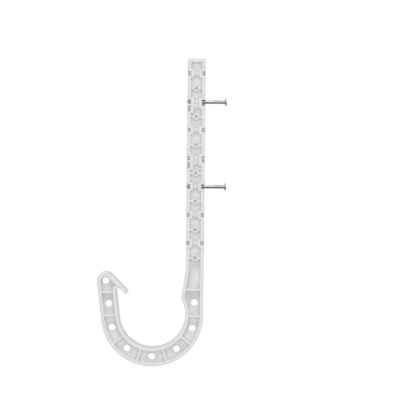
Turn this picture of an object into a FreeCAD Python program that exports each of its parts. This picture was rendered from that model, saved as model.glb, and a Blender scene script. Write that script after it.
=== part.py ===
import FreeCAD, Part
import math
import os

import Sketcher
from FreeCAD import Placement, Rotation, Vector

# Pipe J-hook: a hanger moulded in one piece, with two nails preloaded in its shank.
# Frame: +Z up, X across the hook, Y along the pipe. The origin is the centre of the pipe seat.
# Lengths are in millimetres and angles in degrees.
driving_sizes = {
    # the pipe and the section of the moulding
    "pipe_diameter": 60.3,
    "seat_clearance": 0.85,
    "band_width": 16.5,
    "hook_drop": 0.65,
    "body_depth": 16.0,
    "cell_depth": 3.9,
    "web_thickness": 3.1,
    "rail_thickness": 3.1,
    "rim_chamfer": 0.8,
    "corner_rounding": 1.0,
    "rib_thickness": 1.9,
    "fan_start": 1.5,
    "lightening_hole": 6.4,
    "hole_offset": 0.25,
    "hole_lead": 0.5,
    "hole_spread": 1.5,
    # the leg, its round head and the finger that keeps the pipe in
    "leg_lean": 6.9,
    "head_height": 31.55,
    "head_radius": 7.9,
    "head_thickening": 1.3,
    "head_rib_height": 20.5,
    "finger_slope": 46.0,
    "finger_length": 22.4,
    "finger_tip_thickness": 3.2,
    "notch_radius": 2.4,
    "notch_height": 21.8,
    # the thickened foot of the shank, above the seat
    "cusp_height": 15.4,
    "taper_height": 41.6,
    "foot_rib_height": 23.7,
    # bosses for nails driven along the pipe
    "first_boss_height": 53.2,
    "boss_pitch": 26.33,
    "boss_diameter": 6.0,
    "boss_rib_thickness": 1.75,
    "pilot_diameter": 3.2,
    "end_margin": 13.9,
    # guides for nails driven across the shank, a little above the middle between two bosses
    "guide_rise": 0.55,
    "nail_set_back": 3.6,
    "pocket_height": 3.9,
    "guide_wall": 2.85,
    "guide_margin": 1.95,
    "sleeve_wall": 1.0,
    "angled_tilt": 22.0,
    "angled_drop": 4.1,
    "angled_pocket_height": 4.9,
    "angled_wall_margin": 3.0,
    # the nails
    "nail_diameter": 3.33,
    "nail_clearance": 0.05,
    "nail_length": 38.1,
    "nail_point": 4.2,
    "nail_head_diameter": 7.1,
    "nail_head_thickness": 1.3,
    "nail_neck_diameter": 4.8,
    "nail_neck_length": 1.0,
    "nail_protrusion": 1.6,
}

# Counts of the repeated features. Bosses and guides are numbered from the hook upwards.
hook_cells = 5
guide_count = 7
angled_guides = (4, 6)
nail_guides = {"lower_nail": 3, "upper_nail": 6}
point_facets = 4

# Faces that meet at more than this angle have their edge rounded as a corner
sharp_turn = 20

doc = FreeCAD.newDocument("pipe_j_hook")
sheet = doc.addObject("Spreadsheet::Sheet", "sizes")
for row, (size_name, size) in enumerate(driving_sizes.items(), 1):
    sheet.set(f"A{row}", size_name)
    sheet.set(f"B{row}", str(size))
    sheet.setAlias(f"B{row}", size_name)
doc.recompute()


def guide_height(step):
    return f"(sizes.first_boss_height + {step - 0.5} * sizes.boss_pitch + sizes.guide_rise)"


# Sizes worked out from the driving ones
seat_radius = "(sizes.pipe_diameter / 2 + sizes.seat_clearance)"
outer_radius = f"({seat_radius} + sizes.band_width)"
middle_radius = f"({seat_radius} + sizes.band_width / 2)"
leg_outside = f"({outer_radius} + sizes.hook_drop * sin(sizes.leg_lean))"
head_middle = f"({leg_outside} - sizes.head_radius)"
top_height = f"({guide_height(guide_count)} + sizes.end_margin)"
cusp_x = f"sqrt({seat_radius} ^ 2 - sizes.cusp_height ^ 2)"
taper_run = f"(({seat_radius} - {cusp_x}) / (sizes.taper_height - sizes.cusp_height))"
back_cell_depth = "(sizes.body_depth - sizes.cell_depth - sizes.web_thickness)"
cell_width = "(sizes.band_width - 2 * sizes.rail_thickness)"
cell_left = f"({seat_radius} + sizes.rail_thickness)"
cell_right = f"({outer_radius} - sizes.rail_thickness)"
left_rail_middle = f"({seat_radius} + sizes.rail_thickness / 2)"
right_rail_middle = f"({outer_radius} - sizes.rail_thickness / 2)"
fan_angle = "(180 - 2 * sizes.fan_start)"
end_rib_height = f"(-{middle_radius} * sin(sizes.fan_start))"
nail_radius = "(sizes.nail_diameter / 2)"
nail_depth = "(sizes.body_depth / 2 - sizes.nail_set_back)"
channel_radius = f"({nail_radius} + sizes.nail_clearance)"
sleeve_radius = f"({channel_radius} + sizes.sleeve_wall)"
pocket_depth = f"(sizes.nail_set_back + {channel_radius})"

# The two sides of the web: the sign of the face that a hollow starts from, its depth and its direction
sides = (("front", "", "sizes.cell_depth", False), ("back", "-", back_cell_depth, True))


def at(expression):
    value = sheet.evalExpression(expression)
    return float(getattr(value, "Value", value))


def leg_line(radius, height):
    # X at a height on the leg's line that leaves the circle of this radius as a tangent
    return f"(-({radius} + {height} * sin(sizes.leg_lean)) / cos(sizes.leg_lean))"


def origin_item(body, role):
    return next(item for item in body.Origin.OriginFeatures if item.Role == role)


def new_sketch(body, name, plane="XZ_Plane"):
    sketch = body.newObject("Sketcher::SketchObject", name)
    sketch.AttachmentSupport = [(origin_item(body, plane), "")]
    sketch.MapMode = "FlatFace"
    return sketch


def line(sketch, start, end):
    return sketch.addGeometry(Part.LineSegment(Vector(*start), Vector(*end)), False)


def arc(sketch, centre, radius, start, end):
    ring = Part.Circle(Vector(*centre), Vector(0, 0, 1), radius)
    return sketch.addGeometry(Part.ArcOfCircle(ring, start, end), False)


def relate(sketch, kind, *references):
    sketch.addConstraint(Sketcher.Constraint(kind, *references))


def dimension(sketch, kind, references, expression):
    value = at(expression)
    if kind == "Angle":
        value = math.radians(value)
    number = sketch.addConstraint(Sketcher.Constraint(kind, *references, value))
    sketch.setExpression(f"Constraints[{number}]", expression)


def place(sketch, geometry, point, x=None, y=None):
    # Distances of one point from the sketch's own origin, on either side of it
    for kind, expression in (("DistanceX", x), ("DistanceY", y)):
        if expression is None:
            continue
        if expression == "0":
            relate(sketch, "PointOnObject", geometry, point, -2 if kind == "DistanceX" else -1)
        elif at(expression) < 0:
            dimension(sketch, kind, (geometry, point, -1, 1), f"-{expression}")
        else:
            dimension(sketch, kind, (-1, 1, geometry, point), expression)


def polygon(sketch, corners):
    points = [(at(x), at(y)) for x, y in corners]
    sides = [line(sketch, start, end) for start, end in zip(points, points[1:] + points[:1])]
    for side, following in zip(sides, sides[1:] + sides[:1]):
        relate(sketch, "Coincident", side, 2, following, 1)
    for side, (x, y) in zip(sides, corners):
        place(sketch, side, 1, x, y)


def rectangle(sketch, left, right, bottom, top):
    polygon(sketch, [(left, bottom), (right, bottom), (right, top), (left, top)])


def circle(sketch, x, y, diameter):
    ring = Part.Circle(Vector(at(x), at(y)), Vector(0, 0, 1), at(diameter) / 2)
    number = sketch.addGeometry(ring, False)
    dimension(sketch, "Diameter", (number,), diameter)
    place(sketch, number, 3, x, y)


def extrude(body, kind, sketch, length, side="One side", reverse=False):
    feature = body.newObject(f"PartDesign::{kind}", f"{sketch.Name}_{kind.lower()}")
    feature.Profile = sketch
    feature.SideType = side
    feature.Reversed = reverse
    feature.setExpression("Length", length)
    return feature


def repeat_up(body, name, originals, count, spacing):
    pattern = body.newObject("PartDesign::LinearPattern", name)
    pattern.Originals = originals
    pattern.Direction = (origin_item(body, "Z_Axis"), [""])
    pattern.Mode = "Spacing"
    pattern.Occurrences = count
    pattern.setExpression("Offset", spacing)
    body.Tip = pattern


def repeat_round(body, name, originals, axis, count, angle):
    pattern = body.newObject("PartDesign::PolarPattern", name)
    pattern.Originals = originals
    pattern.Axis = (origin_item(body, axis), [""])
    pattern.Occurrences = count
    pattern.setExpression("Angle", angle)
    body.Tip = pattern


def draw_band(sketch, inset, head_height):
    # The J loop at an inset from the outside of the moulding, open between the finger and the notch.
    # It runs down the shank, round the hook, up the leg and over the head, and back round the seat.
    # The outside of the hook is struck from a lower centre than the seat, so the bottom is thickest.
    outer = f"({outer_radius} - {inset})"
    seat = f"({seat_radius} + {inset})"
    head = f"(sizes.head_radius - {inset})"
    notch = f"(sizes.notch_radius + {inset})"
    top = f"({top_height} - {inset})"
    taper_top = f"(sizes.taper_height - {inset} * tan(atan({taper_run}) / 2))"

    lean = math.pi + math.radians(at("sizes.leg_lean"))
    turn = math.pi / 2 - math.radians(at("sizes.finger_slope"))
    rise = math.asin(at("sizes.cusp_height") / at(seat))
    outer_centre = Vector(0, -at("sizes.hook_drop"))
    head_centre = Vector(at(leg_line(head_middle, head_height)), at(head_height))
    notch_inside = f"({seat_radius} - sizes.notch_radius)"
    notch_centre = Vector(at(leg_line(notch_inside, "sizes.notch_height")), at("sizes.notch_height"))

    def round_point(centre, radius, angle):
        return centre + Vector(math.cos(angle), math.sin(angle)) * at(radius)

    finger_start = round_point(head_centre, head, turn)
    finger_offset = (finger_start - notch_centre).dot(round_point(Vector(), "1", turn))
    notch_turn = turn + math.acos(min(1, finger_offset / at(notch)))
    taper_end = Vector(at(seat), at(taper_top))
    top_left = Vector(at(seat), at(top))
    top_right = Vector(at(outer), at(top))

    right_side = line(sketch, top_right, round_point(outer_centre, outer, 0))
    outer_arc = arc(sketch, outer_centre, at(outer), lean, 2 * math.pi)
    leg_outer = line(
        sketch, round_point(outer_centre, outer, lean), round_point(head_centre, head, lean)
    )
    head_arc = arc(sketch, head_centre, at(head), turn, lean)
    finger_top = line(sketch, finger_start, round_point(notch_centre, notch, notch_turn))
    notch_arc = arc(sketch, notch_centre, at(notch), notch_turn, lean)
    leg_inner = line(
        sketch, round_point(notch_centre, notch, lean), round_point(Vector(), seat, lean)
    )
    seat_arc = arc(sketch, Vector(), at(seat), lean, 2 * math.pi + rise)
    taper = line(sketch, round_point(Vector(), seat, rise), taper_end)
    left_side = line(sketch, taper_end, top_left)
    top_side = line(sketch, top_left, top_right)

    relate(sketch, "Vertical", right_side)
    relate(sketch, "Vertical", left_side)
    relate(sketch, "Horizontal", top_side)
    relate(sketch, "Parallel", leg_outer, leg_inner)
    relate(sketch, "Coincident", seat_arc, 3, -1, 1)
    relate(sketch, "Tangent", right_side, 2, outer_arc, 2)
    relate(sketch, "Tangent", outer_arc, 1, leg_outer, 1)
    relate(sketch, "Tangent", leg_outer, 2, head_arc, 2)
    relate(sketch, "Tangent", head_arc, 1, finger_top, 1)
    relate(sketch, "Tangent", notch_arc, 2, leg_inner, 1)
    relate(sketch, "Tangent", leg_inner, 2, seat_arc, 1)
    relate(sketch, "Coincident", seat_arc, 2, taper, 1)
    relate(sketch, "Coincident", taper, 2, left_side, 1)
    relate(sketch, "Coincident", left_side, 2, top_side, 1)
    relate(sketch, "Coincident", top_side, 2, right_side, 1)
    dimension(sketch, "Radius", (outer_arc,), outer)
    dimension(sketch, "Radius", (seat_arc,), seat)
    dimension(sketch, "Radius", (head_arc,), head)
    dimension(sketch, "Radius", (notch_arc,), notch)
    dimension(sketch, "Angle", (leg_outer,), "90 deg + sizes.leg_lean * 1 deg")
    dimension(sketch, "Angle", (finger_top,), "-sizes.finger_slope * 1 deg")
    dimension(sketch, "Angle", (taper,), f"90 deg - atan({taper_run})")
    place(sketch, outer_arc, 3, x="0", y="(-sizes.hook_drop)")
    place(sketch, head_arc, 3, y=head_height)
    place(sketch, notch_arc, 3, y="sizes.notch_height")
    place(sketch, taper, 2, y=taper_top)
    place(sketch, left_side, 2, x=seat, y=top)
    return finger_top, notch_arc


def draw_finger(sketch, finger_top, notch_arc):
    # A square tip and a flat underside, which leaves the notch as a tangent
    slope = math.radians(at("sizes.finger_slope"))
    along = Vector(math.cos(slope), -math.sin(slope))
    down = Vector(-math.sin(slope), -math.cos(slope))
    tip_top = sketch.getPoint(finger_top, 1) + along * at("sizes.finger_length")
    tip_bottom = tip_top + down * at("sizes.finger_tip_thickness")
    tip = line(sketch, tip_top, tip_bottom)
    underside = line(sketch, tip_bottom, sketch.getPoint(notch_arc, 1))
    relate(sketch, "Coincident", finger_top, 2, tip, 1)
    relate(sketch, "Perpendicular", finger_top, tip)
    relate(sketch, "Coincident", tip, 2, underside, 1)
    relate(sketch, "Tangent", underside, 2, notch_arc, 1)
    dimension(sketch, "Distance", (finger_top,), "sizes.finger_length")
    dimension(sketch, "Distance", (tip,), "sizes.finger_tip_thickness")


def turn_across(shape, edge):
    # Angle between the two faces that meet at an edge, 0 where they run on smoothly
    middle = edge.valueAt((edge.FirstParameter + edge.LastParameter) / 2)
    faces = shape.ancestorsOfType(edge, Part.Face)
    normals = [face.normalAt(*face.Surface.parameter(middle)) for face in faces]
    return math.degrees(normals[0].getAngle(normals[1]))


def dress_edges(body, kind, name, base, size, chosen):
    doc.recompute()
    edges = enumerate(base.Shape.Edges, 1)
    dressing = body.newObject(f"PartDesign::{kind}", name)
    dressing.Base = (base, [f"Edge{number}" for number, edge in edges if chosen(edge)])
    dressing.setExpression("Radius" if kind == "Fillet" else "Size", size)
    return dressing


def make_blank(body):
    # The J through its full depth, with its sharp corners rounded and its front and back edges chamfered
    outline = new_sketch(body, "outline")
    draw_finger(outline, *draw_band(outline, "0", "sizes.head_height"))
    blank = extrude(body, "Pad", outline, "sizes.body_depth", "Symmetric")

    def lies_flat(edge):
        return edge.BoundBox.YLength < at("sizes.body_depth") / 2

    def is_corner(edge):
        return not lies_flat(edge) and turn_across(blank.Shape, edge) > sharp_turn

    corners = dress_edges(body, "Fillet", "corners", blank, "sizes.corner_rounding", is_corner)
    dress_edges(body, "Chamfer", "rim_edges", corners, "sizes.rim_chamfer", lies_flat)


def make_trough(body):
    # The hollow on each side of the web, with rails of even thickness that thicken over the head.
    # The web stands nearer to the front, where the nails are.
    trough_head = "(sizes.head_height - sizes.head_thickening)"
    for side, offset, depth, from_back in sides:
        trough = new_sketch(body, f"{side}_trough")
        finger_top, notch_arc = draw_band(trough, "sizes.rail_thickness", trough_head)
        relate(trough, "Coincident", finger_top, 2, notch_arc, 1)
        trough.setExpression("AttachmentOffset.Base.z", f"{offset}sizes.body_depth / 2")
        extrude(body, "Pocket", trough, depth, reverse=from_back)


def make_ribs(body):
    # Ribs across the band: a fan round the hook, and one each in the leg and the foot of the shank.
    # The two ends of the fan lie a little below the level of the seat's centre.
    ring_rib = new_sketch(body, "ring_rib")
    ring_rib.AttachmentOffset = Placement(Vector(), Rotation(Vector(0, 0, -1), at("sizes.fan_start")))
    ring_rib.setExpression("AttachmentOffset.Rotation.Angle", "sizes.fan_start * 1 deg")
    rectangle(
        ring_rib,
        left_rail_middle,
        right_rail_middle,
        "(-sizes.rib_thickness / 2)",
        "(sizes.rib_thickness / 2)",
    )
    first_rib = extrude(body, "Pad", ring_rib, "sizes.body_depth", "Symmetric")
    repeat_round(body, "ring_ribs", [first_rib], "Y_Axis", hook_cells + 1, f"{fan_angle} * 1 deg")

    cross_ribs = new_sketch(body, "cross_ribs")
    rectangle(
        cross_ribs,
        leg_line(right_rail_middle, "sizes.head_rib_height"),
        leg_line(left_rail_middle, "sizes.head_rib_height"),
        "(sizes.head_rib_height - sizes.rib_thickness / 2)",
        "(sizes.head_rib_height + sizes.rib_thickness / 2)",
    )
    taper_rise = "(sizes.foot_rib_height - sizes.cusp_height)"
    rectangle(
        cross_ribs,
        f"({cusp_x} + {taper_run} * {taper_rise} + sizes.rail_thickness / 2)",
        right_rail_middle,
        "(sizes.foot_rib_height - sizes.rib_thickness / 2)",
        "(sizes.foot_rib_height + sizes.rib_thickness / 2)",
    )
    extrude(body, "Pad", cross_ribs, "sizes.body_depth", "Symmetric")


def make_lightening_holes(body):
    # One hole through the web in each cell of the hook, the leg, the head and the foot.
    # Those round the hook stand a little outside the middle and are spread wider than the cells.
    cell_angle = f"({fan_angle} / {hook_cells})"
    first_angle = f"(sizes.fan_start + {cell_angle} / 2 - sizes.hole_lead)"
    hole_circle = f"({middle_radius} + sizes.hole_offset)"
    ring_hole = new_sketch(body, "ring_hole")
    circle(
        ring_hole,
        f"({hole_circle} * cos({first_angle}))",
        f"(-{hole_circle} * sin({first_angle}))",
        "sizes.lightening_hole",
    )
    first_hole = extrude(body, "Pocket", ring_hole, "sizes.body_depth", "Symmetric")
    hole_span = f"({hook_cells - 1} * {cell_angle} + sizes.hole_spread) * 1 deg"
    repeat_round(body, "ring_holes", [first_hole], "Y_Axis", hook_cells, hole_span)

    leg_height = f"((sizes.head_rib_height + {end_rib_height}) / 2)"
    head_height = "(sizes.head_height - sizes.head_thickening / 2)"
    foot_height = f"((sizes.foot_rib_height + {end_rib_height}) / 2)"
    cell_holes = new_sketch(body, "cell_holes")
    for x, height in (
        (leg_line(middle_radius, leg_height), leg_height),
        (leg_line(head_middle, head_height), head_height),
        (middle_radius, foot_height),
    ):
        circle(cell_holes, x, height, "sizes.lightening_hole")
    extrude(body, "Pocket", cell_holes, "sizes.body_depth", "Symmetric")


def make_bosses(body):
    # Round bosses on cross ribs, with a blind pilot hole from each side down to the web
    boss_rib = new_sketch(body, "boss_rib")
    rectangle(
        boss_rib,
        left_rail_middle,
        right_rail_middle,
        "(sizes.first_boss_height - sizes.boss_rib_thickness / 2)",
        "(sizes.first_boss_height + sizes.boss_rib_thickness / 2)",
    )
    boss = new_sketch(body, "boss")
    circle(boss, middle_radius, "sizes.first_boss_height", "sizes.boss_diameter")
    first_boss = [
        extrude(body, "Pad", sketch, "sizes.body_depth", "Symmetric") for sketch in (boss_rib, boss)
    ]
    for side, offset, depth, from_back in sides:
        pilot = new_sketch(body, f"{side}_pilot")
        circle(pilot, middle_radius, "sizes.first_boss_height", "sizes.pilot_diameter")
        pilot.setExpression("AttachmentOffset.Base.z", f"{offset}sizes.body_depth / 2")
        first_boss.append(extrude(body, "Pocket", pilot, depth, reverse=from_back))
    repeat_up(body, "bosses", first_boss, guide_count, "sizes.boss_pitch")


def new_axis_sketch(body, name, height, tilt):
    # A sketch square to a nail's axis, with its origin where the axis crosses the middle of the shank
    sketch = new_sketch(body, name, "YZ_Plane")
    sketch.AttachmentOffset = Placement(Vector(), Rotation(Vector(-1, 0, 0), at(tilt)))
    sketch.setExpression("AttachmentOffset.Base.x", f"-{nail_depth}")
    sketch.setExpression("AttachmentOffset.Base.y", height)
    sketch.setExpression("AttachmentOffset.Base.z", middle_radius)
    sketch.setExpression("AttachmentOffset.Rotation.Angle", tilt)
    return sketch


def draw_tunnel(sketch, radius, reach):
    # Half round in front of the nail's axis, with straight sides that reach back from it
    half = arc(sketch, Vector(), at(radius), math.pi / 2, 3 * math.pi / 2)
    back = Vector(at(reach), 0)
    upper, lower = sketch.getPoint(half, 1), sketch.getPoint(half, 2)
    under = line(sketch, lower, lower + back)
    end = line(sketch, lower + back, upper + back)
    over = line(sketch, upper + back, upper)
    relate(sketch, "Coincident", half, 3, -1, 1)
    relate(sketch, "PointOnObject", half, 1, -2)
    relate(sketch, "Coincident", half, 2, under, 1)
    relate(sketch, "Coincident", under, 2, end, 1)
    relate(sketch, "Coincident", end, 2, over, 1)
    relate(sketch, "Coincident", over, 2, half, 1)
    relate(sketch, "Horizontal", under)
    relate(sketch, "Horizontal", over)
    relate(sketch, "Vertical", end)
    dimension(sketch, "Radius", (half,), radius)
    place(sketch, under, 2, x=reach)


def draw_sleeve(sketch):
    # The wall round the nail stands on the middle of the web
    draw_tunnel(sketch, sleeve_radius, "(sizes.cell_depth + sizes.web_thickness / 2 - sizes.nail_set_back)")


def draw_channel(sketch):
    # The nail's own room, open to the back of the moulding
    draw_tunnel(sketch, channel_radius, f"({nail_depth} + sizes.body_depth / 2)")


def make_nail_guides(body):
    # Each guide holds a nail behind a sleeve, between pockets in the rails that open to the front.
    # The walls step inwards round the pockets. Two guides also take a nail at a slant, lower down.
    level = "0 deg"
    slant = "sizes.angled_tilt * 1 deg"
    height = guide_height(1)
    half_pocket = "sizes.pocket_height / 2"
    outside_left = f"({seat_radius} - sizes.rail_thickness)"
    outside_right = f"({outer_radius} + sizes.rail_thickness)"
    left_wall = (left_rail_middle, f"({cell_left} + sizes.guide_wall)")
    right_wall = (f"({cell_right} - sizes.guide_wall)", right_rail_middle)

    angled_height = guide_height(angled_guides[0])
    angled_spacing = f"{angled_guides[1] - angled_guides[0]} * sizes.boss_pitch"
    angled_middle = f"({angled_height} - sizes.angled_drop)"
    side_drop = f"{cell_width} / 2 * tan(sizes.angled_tilt)"
    angled_length = f"{cell_width} / cos(sizes.angled_tilt)"
    low_top = f"({angled_middle} - {side_drop} + sizes.angled_pocket_height / 2)"
    low_bottom = f"({low_top} - sizes.angled_pocket_height)"
    low_outside = f"({low_bottom} - 2 * sizes.rail_thickness * tan(sizes.angled_tilt))"
    right_bottom = f"({angled_middle} + {side_drop} - {channel_radius} / cos(sizes.angled_tilt))"

    angled_walls = new_sketch(body, "angled_walls")
    left_base = f"({low_bottom} - sizes.guide_margin)"
    right_base = f"({right_bottom} - sizes.angled_wall_margin)"
    rectangle(angled_walls, *left_wall, left_base, angled_height)
    rectangle(angled_walls, *right_wall, right_base, angled_height)
    angled_sleeve = new_axis_sketch(body, "angled_sleeve", angled_middle, slant)
    draw_sleeve(angled_sleeve)
    added = [
        extrude(body, "Pad", angled_walls, "sizes.body_depth / 2"),
        extrude(body, "Pad", angled_sleeve, angled_length, "Symmetric"),
    ]
    repeat_up(body, "angled_guides", added, len(angled_guides), angled_spacing)

    pocket_ends = (f"({height} - {half_pocket})", f"({height} + {half_pocket})")
    wall_ends = tuple(f"({height} {sign} ({half_pocket} + sizes.guide_margin))" for sign in "-+")
    guide_walls = new_sketch(body, "guide_walls")
    guide_pockets = new_sketch(body, "guide_pockets")
    guide_pockets.setExpression("AttachmentOffset.Base.z", "sizes.body_depth / 2")
    for wall in (left_wall, right_wall):
        rectangle(guide_walls, *wall, *wall_ends)
    for pocket in ((outside_left, cell_left), (cell_right, outside_right)):
        rectangle(guide_pockets, *pocket, *pocket_ends)
    guide_sleeve = new_axis_sketch(body, "guide_sleeve", height, level)
    draw_sleeve(guide_sleeve)
    guide_channel = new_axis_sketch(body, "guide_channel", height, level)
    draw_channel(guide_channel)
    first_guide = [
        extrude(body, "Pad", guide_walls, "sizes.body_depth / 2"),
        extrude(body, "Pad", guide_sleeve, cell_width, "Symmetric"),
        extrude(body, "Pocket", guide_channel, cell_width, "Symmetric"),
        extrude(body, "Pocket", guide_pockets, pocket_depth),
    ]
    repeat_up(body, "guides", first_guide, guide_count, "sizes.boss_pitch")

    angled_pockets = new_sketch(body, "angled_pockets")
    angled_pockets.setExpression("AttachmentOffset.Base.z", "sizes.body_depth / 2")
    polygon(
        angled_pockets,
        [
            (outside_left, low_top),
            (outside_left, low_outside),
            (cell_left, low_bottom),
            (cell_left, low_top),
        ],
    )
    right_top = f"({angled_height} + {half_pocket})"
    rectangle(angled_pockets, cell_right, outside_right, right_bottom, right_top)
    angled_channel = new_axis_sketch(body, "angled_channel", angled_middle, slant)
    draw_channel(angled_channel)
    cut = [
        extrude(body, "Pocket", angled_channel, angled_length, "Symmetric"),
        extrude(body, "Pocket", angled_pockets, pocket_depth),
    ]
    repeat_up(body, "angled_channels", cut, len(angled_guides), angled_spacing)


def make_hook():
    body = doc.addObject("PartDesign::Body", "hook")
    make_blank(body)
    make_trough(body)
    make_ribs(body)
    make_lightening_holes(body)
    make_bosses(body)
    make_nail_guides(body)
    return body


def make_nail(name, step):
    # A turned shank, neck and head, with flats ground on the point; the point is at the body's origin
    body = doc.addObject("PartDesign::Body", name)
    neck_end = "(sizes.nail_length - sizes.nail_head_thickness)"
    neck_start = f"({neck_end} - sizes.nail_neck_length)"
    profile = new_sketch(body, f"{name}_profile")
    polygon(
        profile,
        [
            ("0", "0"),
            ("sizes.nail_length", "0"),
            ("sizes.nail_length", "sizes.nail_head_diameter / 2"),
            (neck_end, "sizes.nail_head_diameter / 2"),
            (neck_end, "sizes.nail_neck_diameter / 2"),
            (neck_start, nail_radius),
            ("0", nail_radius),
        ],
    )
    turned = body.newObject("PartDesign::Revolution", f"{name}_turned")
    turned.Profile = profile
    turned.ReferenceAxis = (origin_item(body, "X_Axis"), [""])
    turned.Angle = 360

    facet = new_sketch(body, f"{name}_facet")
    beyond = f"(2 * {nail_radius})"
    polygon(facet, [("0", "0"), ("(2 * sizes.nail_point)", beyond), ("(-sizes.nail_point)", beyond)])
    ground = extrude(body, "Pocket", facet, "2 * sizes.nail_diameter", "Symmetric")
    repeat_round(body, f"{name}_point", [ground], "X_Axis", point_facets, "360 deg")

    body.setExpression("Placement.Base.x", f"{seat_radius} - sizes.nail_protrusion")
    body.setExpression("Placement.Base.y", f"-{nail_depth}")
    body.setExpression("Placement.Base.z", guide_height(step))
    return body


hook = make_hook()
nails = doc.addObject("Part::Compound", "nails")
nails.Links = [make_nail(name, step) for name, step in nail_guides.items()]
doc.recompute()

for item in doc.Objects:
    if {"Invalid", "Error"} & set(item.State):
        raise RuntimeError(f"{item.Name} failed to build")
os.makedirs("parts", exist_ok=True)
for part in (hook, nails):
    if part.Shape.isNull() or not part.Shape.isValid():
        raise RuntimeError(f"{part.Label} has no valid shape")
    part.Shape.exportStep(f"parts/{part.Label}.step")
    print(part.Label, len(part.Shape.Solids), "solids,", round(part.Shape.Volume), "cubic millimetres")
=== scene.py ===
import math

import bmesh
import bpy
import numpy as np
from mathutils import Euler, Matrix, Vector


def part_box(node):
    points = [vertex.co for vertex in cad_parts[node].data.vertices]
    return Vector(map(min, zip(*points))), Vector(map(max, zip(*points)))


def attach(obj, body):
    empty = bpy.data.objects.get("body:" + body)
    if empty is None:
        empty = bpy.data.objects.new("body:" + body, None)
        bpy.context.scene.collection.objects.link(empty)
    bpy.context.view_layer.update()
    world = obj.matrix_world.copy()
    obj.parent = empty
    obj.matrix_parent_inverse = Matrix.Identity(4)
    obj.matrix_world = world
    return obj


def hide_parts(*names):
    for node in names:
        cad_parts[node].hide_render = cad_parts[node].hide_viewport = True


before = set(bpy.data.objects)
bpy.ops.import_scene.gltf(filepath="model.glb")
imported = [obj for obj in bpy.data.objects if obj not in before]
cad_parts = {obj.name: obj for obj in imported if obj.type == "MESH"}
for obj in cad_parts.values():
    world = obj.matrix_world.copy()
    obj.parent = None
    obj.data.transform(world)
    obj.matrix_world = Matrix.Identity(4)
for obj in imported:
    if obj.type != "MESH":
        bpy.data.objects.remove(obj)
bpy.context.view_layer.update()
millimetre = 0.001
mixFirst, mixSecond, mixResult = 6, 7, 2  # a Mix node's colour sockets, whose names aren't unique
print("stage: frame loaded")


def linearColour(hexText):
    # sRGB hex to linear light
    srgb = np.array([int(hexText[i : i + 2], 16) for i in (1, 3, 5)]) / 255
    linear = np.where(srgb <= 0.04045, srgb / 12.92, ((srgb + 0.055) / 1.055) ** 2.4)
    return (*linear.tolist(), 1.0)


def addNode(tree, kind, links=None, **settings):
    # One node: settings are its own attributes, links give its inputs as sockets or plain values
    node = tree.nodes.new(kind)
    for name, value in settings.items():
        setattr(node, name, value)
    for name, value in (links or {}).items():
        if isinstance(value, bpy.types.NodeSocket):
            tree.links.new(value, node.inputs[name])
        else:
            node.inputs[name].default_value = value
    return node


def emptyTree(owner):
    owner.use_nodes = True
    owner.node_tree.nodes.clear()
    return owner.node_tree


def lookedAt(tree):
    # 1 for a ray from the camera, off a shiny surface or through a clear one, 0 for light on its way
    path = addNode(tree, "ShaderNodeLightPath")
    seen = path.outputs["Is Camera Ray"]
    for ray in ("Is Glossy Ray", "Is Transmission Ray"):
        either = addNode(tree, "ShaderNodeMath", {0: seen, 1: path.outputs[ray]}, operation="MAXIMUM")
        seen = either.outputs["Value"]
    return seen


def addToScene(thing):
    bpy.context.scene.collection.objects.link(thing)
    return thing


# The hook: the moulding's own solid, with every rim of its cells, ribs and bosses rounded
hookSettings = {
    "weld": 0.004,  # mm, corners of the loose triangles nearer than this are one
    "rimRadius": 0.1,  # mm, rounding that the mould leaves on a rim
    "rimSegments": 2,
    "rimAngle": 60.0,  # degrees, the chamfered outer rims are below this and keep their chamfer
    "smoothAngle": 50.0,  # degrees, faces that meet flatter than this shade as one
    "flatAngle": 0.5,  # degrees, faces that meet flatter than this are one flat wall
    "flatness": 0.02,  # mm, how far a rim may lie from the front or back plane
}


def rimEdges(mesh, faceAngle, settings):
    # A rim lies in the front or the back plane, between two faces that meet at a sharp angle
    front, back = (corner.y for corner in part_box("hook"))
    places = np.empty(len(mesh.vertices) * 3)
    mesh.vertices.foreach_get("co", places)
    depth = places.reshape(-1, 3)[:, 1]
    gap = np.minimum(np.abs(depth - front), np.abs(depth - back))
    ends = np.empty(len(mesh.edges) * 2, dtype=np.int32)
    mesh.edges.foreach_get("vertices", ends)
    inPlane = (gap[ends.reshape(-1, 2)] < settings["flatness"] * millimetre).all(axis=1)
    return inPlane & (faceAngle > math.radians(settings["rimAngle"]))


def mouldedHook(settings):
    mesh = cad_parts["hook"].data.copy()
    mesh.name = "mouldedHook"
    work = bmesh.new()
    work.from_mesh(mesh)
    bmesh.ops.remove_doubles(work, verts=work.verts, dist=settings["weld"] * millimetre)
    work.normal_update()
    faceAngle = np.array([edge.calc_face_angle(0.0) for edge in work.edges])
    # Round walls are made of faces that meet at a slight angle and shade as one, flat ones shade flat
    flat, smooth = (math.radians(settings[name]) for name in ("flatAngle", "smoothAngle"))
    slight = (faceAngle > flat) & (faceAngle < smooth)
    roundFaces = {face for edge, bent in zip(work.edges, slight) if bent for face in edge.link_faces}
    for face in work.faces:
        face.smooth = face in roundFaces
    work.to_mesh(mesh)
    work.free()
    rims = rimEdges(mesh, faceAngle, settings)
    weight = mesh.attributes.new("bevel_weight_edge", "FLOAT", "EDGE")
    weight.data.foreach_set("value", rims.astype(np.float32))
    mesh.set_sharp_from_angle(angle=smooth)

    piece = addToScene(bpy.data.objects.new("mouldedHook", mesh))
    rounding = piece.modifiers.new("rim rounding", "BEVEL")
    rounding.limit_method = "WEIGHT"
    rounding.width = settings["rimRadius"] * millimetre
    rounding.segments = settings["rimSegments"]
    rounding.use_clamp_overlap = False
    rounding.loop_slide = False
    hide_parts("hook")
    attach(piece, "root")
    print("stage: hook,", int(rims.sum()), "rim edges rounded")
    return piece


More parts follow.
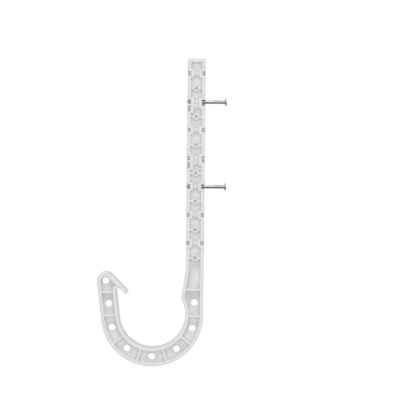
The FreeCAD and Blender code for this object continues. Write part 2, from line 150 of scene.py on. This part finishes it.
# The nails: drawn wire with a diamond point, and grip marks under a headed end
nailSettings = {
    "wireDiameter": 3.33,  # mm
    "pointLength": 4.2,  # mm
    "headThickness": 1.3,  # mm
    "neckDiameter": 4.8,  # mm, where the neck runs into the head
    "neckLength": 1.0,  # mm
    "edgeRounding": 0.25,  # mm, on the head's rims
    "gripStart": 3.4,  # mm from the top of the head to the first grip mark
    "gripPitch": 0.9,  # mm between grip marks
    "gripCount": 9,
    "gripDepth": 0.06,  # mm
    "around": 48,  # points round the wire
    "poleRing": 0.02,  # mm, from the tip to the first ring, and radius of the last one on the head
    "pointOverlap": 1.02,  # the point's rings run on to this many times its length
    "pointRings": 14,
    "wireRings": 12,
    "gripRings": 8,  # for each grip mark
    "collarRings": 4,  # between the grip marks and the neck
    "neckRings": 6,
    "edgeRings": 5,  # round each rim of the head
    "crownRings": 5,  # on the top of the head
    "sharpAngle": 40.0,  # degrees, edges sharper than this stay crisp
}


def nailProfile(length, headRadius, settings):
    # Half section from tip to head, as stations along the nail and distances from its axis: the wire less
    # a shallow cosine groove at each grip mark, a neck that widens with the square of the way along it,
    # and a head whose two rims are quarter circles
    wire = settings["wireDiameter"] / 2
    edge = settings["edgeRounding"]
    neckEnd = length - settings["headThickness"]
    neckStart = neckEnd - settings["neckLength"]
    gripEnd = length - settings["gripStart"]
    gripLow = gripEnd - settings["gripPitch"] * settings["gripCount"]
    pointEnd = settings["pointLength"] * settings["pointOverlap"]
    stretches = [
        np.linspace(settings["poleRing"], pointEnd, settings["pointRings"]),
        np.linspace(pointEnd, gripLow, settings["wireRings"]),
        np.linspace(gripLow, gripEnd, settings["gripRings"] * settings["gripCount"] + 1),
        np.linspace(gripEnd, neckStart, settings["collarRings"]),
    ]
    shank = np.unique(np.concatenate(stretches))
    phase = np.clip((shank - gripLow) / settings["gripPitch"], 0, settings["gripCount"])
    shankRadius = wire - settings["gripDepth"] * (1 - np.cos(2 * math.pi * phase)) / 2
    neck = np.linspace(neckStart, neckEnd, settings["neckRings"])[1:]
    neckRise = (neck - neckStart) / settings["neckLength"]
    neckRadius = wire + (settings["neckDiameter"] / 2 - wire) * neckRise**2
    turn = np.linspace(0.0, math.pi / 2, settings["edgeRings"])
    rimOut = headRadius - edge + edge * np.sin(turn)
    rimUp = edge * (1 - np.cos(turn))
    crown = np.linspace(headRadius - edge, settings["poleRing"], settings["crownRings"])[1:]
    top = np.full(len(crown), length)
    station = np.concatenate([shank, neck, neckEnd + rimUp, length - rimUp[::-1], top])
    radius = np.concatenate([shankRadius, neckRadius, rimOut, rimOut[::-1], crown])
    return station, radius


def nailSurface(length, headRadius, settings):
    # The profile turned round the axis, as a function of the station and the angle. At the point it gives
    # way to a square pyramid where that is nearer: station x slope / max(|cos|, |sin|) from the axis.
    station, radius = nailProfile(length, headRadius, settings)
    angle = np.linspace(0.0, 2 * math.pi, settings["around"], endpoint=False)
    slope = settings["wireDiameter"] / 2 / settings["pointLength"]
    pyramid = station[:, None] * slope / np.maximum(np.abs(np.cos(angle)), np.abs(np.sin(angle)))
    across = np.minimum(radius[:, None], pyramid)
    along = np.broadcast_to(station[:, None], across.shape)
    grid = np.stack([along, across * np.cos(angle), across * np.sin(angle)], axis=-1)
    poles = np.array([[0.0, 0.0, 0.0], [length, 0.0, 0.0]])
    points = np.concatenate([grid.reshape(-1, 3), poles])
    number = np.arange(across.size).reshape(across.shape)
    following = np.roll(number, -1, axis=1)
    quads = np.stack([number[:-1], following[:-1], following[1:], number[1:]], axis=-1)
    tip = np.full(len(angle), len(points) - 2)
    tipFan = np.stack([tip, following[0], number[0]], axis=-1)
    topFan = np.stack([tip + 1, number[-1], following[-1]], axis=-1)
    return points, quads.reshape(-1, 4), np.concatenate([tipFan, topFan])


def preloadedNails(settings):
    # Both nails lie along X, the highest and the lowest of their common box
    low, high = (np.array(corner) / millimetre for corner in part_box("nails"))
    headRadius = (high[1] - low[1]) / 2
    points, quads, fans = nailSurface(high[0] - low[0], headRadius, settings)
    heights = (low[2] + headRadius, high[2] - headRadius)
    starts = [np.array([low[0], (low[1] + high[1]) / 2, height]) for height in heights]
    allPoints = np.concatenate([points + start for start in starts]) * millimetre
    shifts = [n * len(points) for n in range(len(starts))]
    faces = [(group + shift).tolist() for shift in shifts for group in (quads, fans)]
    mesh = bpy.data.meshes.new("preloadedNails")
    mesh.from_pydata(allPoints.tolist(), [], sum(faces, []))
    mesh.shade_smooth()
    mesh.set_sharp_from_angle(angle=math.radians(settings["sharpAngle"]))
    mesh.update()
    piece = addToScene(bpy.data.objects.new("preloadedNails", mesh))
    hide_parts("nails")
    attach(piece, "root")
    print("stage: nails,", len(mesh.polygons), "faces")
    return piece


plasticSettings = {
    "colour": "#eaeaea",
    "cloud": "#e6e6e6",
    "cloudSize": 14.0,  # mm, milky clouds where the melt flowed
    "grainSize": 0.7,  # mm, texture of the mould; finer on the real one, drawn as coarse as it shows
    "grainHeight": 0.012,  # mm
    "roughness": 0.7,
    "ior": 1.49,
    "scatterDepth": 3.0,  # mm
    "scatterShare": 0.25,
}


def naturalPolypropylene(settings):
    # Unpigmented polypropylene, injection moulded: milky and nearly matt. Light scatters a little way into
    # it, so thin ribs and rims look lighter and shadows inside the cells stay soft
    material = bpy.data.materials.new("natural polypropylene")
    tree = emptyTree(material)
    place = addNode(tree, "ShaderNodeTexCoord").outputs["Object"]
    cloudScale = 1 / (settings["cloudSize"] * millimetre)
    cloud = addNode(
        tree,
        "ShaderNodeTexNoise",
        {"Vector": place, "Scale": cloudScale, "Detail": 3.0, "Roughness": 0.5},
    )
    colour = addNode(
        tree,
        "ShaderNodeMix",
        {
            "Factor": cloud.outputs["Fac"],
            mixFirst: linearColour(settings["colour"]),
            mixSecond: linearColour(settings["cloud"]),
        },
        data_type="RGBA",
    )
    grainScale = 1 / (settings["grainSize"] * millimetre)
    grain = addNode(
        tree,
        "ShaderNodeTexNoise",
        {"Vector": place, "Scale": grainScale, "Detail": 2.0, "Roughness": 0.6},
    )
    bump = addNode(
        tree,
        "ShaderNodeBump",
        {"Height": grain.outputs["Fac"], "Strength": 1.0, "Distance": settings["grainHeight"] * millimetre},
    )
    shader = addNode(
        tree,
        "ShaderNodeBsdfPrincipled",
        {
            "Base Color": colour.outputs[mixResult],
            "Roughness": settings["roughness"],
            "IOR": settings["ior"],
            "Subsurface Weight": settings["scatterShare"],
            "Subsurface Radius": (1.0, 1.0, 1.0),
            "Subsurface Scale": settings["scatterDepth"] * millimetre,
            "Normal": bump.outputs["Normal"],
        },
    )
    addNode(tree, "ShaderNodeOutputMaterial", {"Surface": shader.outputs["BSDF"]})
    return material


steelSettings = {
    "colour": "#aaaaaa",
    "shade": "#949494",
    "drawMark": 0.25,  # mm between draw marks round the wire
    "drawLength": 9.0,  # mm along the wire
    "roughness": 0.16,
}


def drawnSteel(settings):
    # Bright wire drawn through a die: fine lines along the nail, a clear dark and light band across it
    material = bpy.data.materials.new("drawn steel")
    tree = emptyTree(material)
    place = addNode(tree, "ShaderNodeTexCoord").outputs["Object"]
    across = 1 / (settings["drawMark"] * millimetre)
    along = 1 / (settings["drawLength"] * millimetre)
    stretch = addNode(tree, "ShaderNodeMapping", {"Vector": place, "Scale": (along, across, across)})
    marks = addNode(
        tree,
        "ShaderNodeTexNoise",
        {"Vector": stretch.outputs["Vector"], "Scale": 1.0, "Detail": 2.0, "Roughness": 0.5},
    )
    colour = addNode(
        tree,
        "ShaderNodeMix",
        {
            "Factor": marks.outputs["Fac"],
            mixFirst: linearColour(settings["colour"]),
            mixSecond: linearColour(settings["shade"]),
        },
        data_type="RGBA",
    )
    shader = addNode(
        tree,
        "ShaderNodeBsdfPrincipled",
        {"Base Color": colour.outputs[mixResult], "Metallic": 1.0, "Roughness": settings["roughness"]},
    )
    addNode(tree, "ShaderNodeOutputMaterial", {"Surface": shader.outputs["BSDF"]})
    return material


def giveMaterial(piece, material):
    piece.data.materials.clear()
    piece.data.materials.append(material)


giveMaterial(mouldedHook(hookSettings), naturalPolypropylene(plasticSettings))
giveMaterial(preloadedNails(nailSettings), drawnSteel(steelSettings))
print("stage: materials on both pieces")

# The camera looks along the pipe, level with the middle of the shank
cameraSettings = {
    "aimX": 43.51,  # mm, where the optical axis meets the front rims
    "aimZ": 107.16,  # mm
    "reach": 1067.0,  # mm from the camera to the front rims
    "frameWidth": 372.0,  # mm across the picture at the front rims
    "roll": -0.61,  # degrees, the hook leans a little to the right in the picture
    "sensor": 36.0,  # mm
    "clipNear": 0.01,  # m
    "clipFar": 20.0,  # m
}


def addCamera(settings):
    camera = bpy.data.cameras.new("photoCamera")
    camera.sensor_width = settings["sensor"]
    camera.lens = settings["sensor"] * settings["reach"] / settings["frameWidth"]
    camera.clip_start = settings["clipNear"]
    camera.clip_end = settings["clipFar"]
    holder = addToScene(bpy.data.objects.new("photoCamera", camera))
    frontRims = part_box("hook")[0].y
    holder.location = Vector((settings["aimX"], -settings["reach"], settings["aimZ"])) * millimetre
    holder.location.y += frontRims
    holder.rotation_euler = Euler((math.pi / 2, math.radians(settings["roll"]), 0.0))
    bpy.context.scene.camera = holder


addCamera(cameraSettings)

# The floor lies below the picture: a pale round sheet that runs out into the white round it
floorSettings = {
    "level": -145.0,  # mm
    "radius": 235.0,  # mm
    "fadeStart": 0.55,  # share of the radius where the sheet begins to run out
    "around": 96,  # points round its edge
    "colour": "#f4f4f4",
}


def palePaper(settings):
    # Matt paper: takes the soft shadow of the hook, and turns to plain white before its edge
    material = bpy.data.materials.new("pale paper")
    tree = emptyTree(material)
    place = addNode(tree, "ShaderNodeTexCoord").outputs["Object"]
    reach = addNode(tree, "ShaderNodeVectorMath", {0: place}, operation="LENGTH")
    fade = addNode(
        tree,
        "ShaderNodeMapRange",
        {
            "Value": reach.outputs["Value"],
            "From Min": settings["fadeStart"] * settings["radius"] * millimetre,
            "From Max": settings["radius"] * millimetre,
        },
        interpolation_type="SMOOTHSTEP",
    )
    paper = addNode(
        tree,
        "ShaderNodeBsdfPrincipled",
        {"Base Color": linearColour(settings["colour"]), "Roughness": 0.9},
    )
    white = addNode(tree, "ShaderNodeEmission", {"Color": (1, 1, 1, 1), "Strength": 1.0})
    amount = addNode(
        tree,
        "ShaderNodeMath",
        {0: fade.outputs["Result"], 1: lookedAt(tree)},
        operation="MULTIPLY",
    )
    mix = addNode(
        tree,
        "ShaderNodeMixShader",
        {0: amount.outputs["Value"], 1: paper.outputs["BSDF"], 2: white.outputs["Emission"]},
    )
    addNode(tree, "ShaderNodeOutputMaterial", {"Surface": mix.outputs["Shader"]})
    return material


def paleFloor(settings):
    # A disc: radius x (cos, sin) of the angle
    turn = np.linspace(0.0, 2 * math.pi, settings["around"], endpoint=False)
    ring = np.stack([np.cos(turn), np.sin(turn), np.zeros_like(turn)], axis=-1)
    mesh = bpy.data.meshes.new("floor")
    mesh.from_pydata((ring * settings["radius"] * millimetre).tolist(), [], [list(range(len(ring)))])
    mesh.materials.append(palePaper(settings))
    floor = addToScene(bpy.data.objects.new("floor", mesh))
    floor.location.z = settings["level"] * millimetre


paleFloor(floorSettings)

# A black card lies in front of the floor, below the picture. Only reflections show it: it gives the nails
# their dark lower band
cardSettings = {
    "near": -150.0,  # mm along Y
    "far": -1200.0,  # mm along Y
    "halfWidth": 600.0,  # mm
    "level": -120.0,  # mm
    "colour": "#060606",
}


def blackCard(settings):
    material = bpy.data.materials.new("black card")
    tree = emptyTree(material)
    card = addNode(
        tree,
        "ShaderNodeBsdfPrincipled",
        {"Base Color": linearColour(settings["colour"]), "Roughness": 0.9, "Specular IOR Level": 0.0},
    )
    addNode(tree, "ShaderNodeOutputMaterial", {"Surface": card.outputs["BSDF"]})
    side, level, near, far = (settings[name] for name in ("halfWidth", "level", "near", "far"))
    corners = np.array([(-side, far, level), (side, far, level), (side, near, level), (-side, near, level)])
    mesh = bpy.data.meshes.new("blackCard")
    mesh.from_pydata((corners * millimetre).tolist(), [], [(0, 1, 2, 3)])
    mesh.materials.append(material)
    piece = addToScene(bpy.data.objects.new("blackCard", mesh))
    piece.visible_camera = False
    piece.visible_diffuse = False
    piece.visible_transmission = False
    piece.visible_shadow = False


blackCard(cardSettings)
print("stage: camera, floor and card set")

# Two softboxes: a wide one in front, level with the hook, and a small one high above it. Metres and watts
lampAim = (0.03, 0.0, 0.12)
lampSettings = {
    "frontLamp": {"place": (0.03, -1.2, 0.1), "width": 1.4, "height": 1.0, "power": 5.2},
    "topLamp": {"place": (0.03, -0.6, 1.14), "width": 0.3, "height": 0.3, "power": 2.0},
}


def addLamp(name, settings):
    light = bpy.data.lights.new(name, "AREA")
    light.energy = settings["power"]
    light.shape = "RECTANGLE"
    light.size = settings["width"]
    light.size_y = settings["height"]
    lamp = addToScene(bpy.data.objects.new(name, light))
    lamp.location = settings["place"]
    aim = Vector(lampAim) - lamp.location
    lamp.rotation_euler = aim.to_track_quat("-Z", "Y").to_euler()


for lampName, lampSetting in lampSettings.items():
    addLamp(lampName, lampSetting)

worldSettings = {
    "soft": 0.58,  # strength of the even light that falls on the hook
    "white": 1.0,  # strength of the background that is looked at
}


def addWorld(settings):
    world = bpy.data.worlds.new("studio")
    bpy.context.scene.world = world
    tree = emptyTree(world)
    soft = addNode(tree, "ShaderNodeBackground", {"Color": (1, 1, 1, 1), "Strength": settings["soft"]})
    white = addNode(tree, "ShaderNodeBackground", {"Color": (1, 1, 1, 1), "Strength": settings["white"]})
    mix = addNode(
        tree,
        "ShaderNodeMixShader",
        {0: lookedAt(tree), 1: soft.outputs["Background"], 2: white.outputs["Background"]},
    )
    addNode(tree, "ShaderNodeOutputWorld", {"Surface": mix.outputs["Shader"]})


addWorld(worldSettings)
bpy.context.scene.view_settings.view_transform = "Standard"
print("stage: light set")
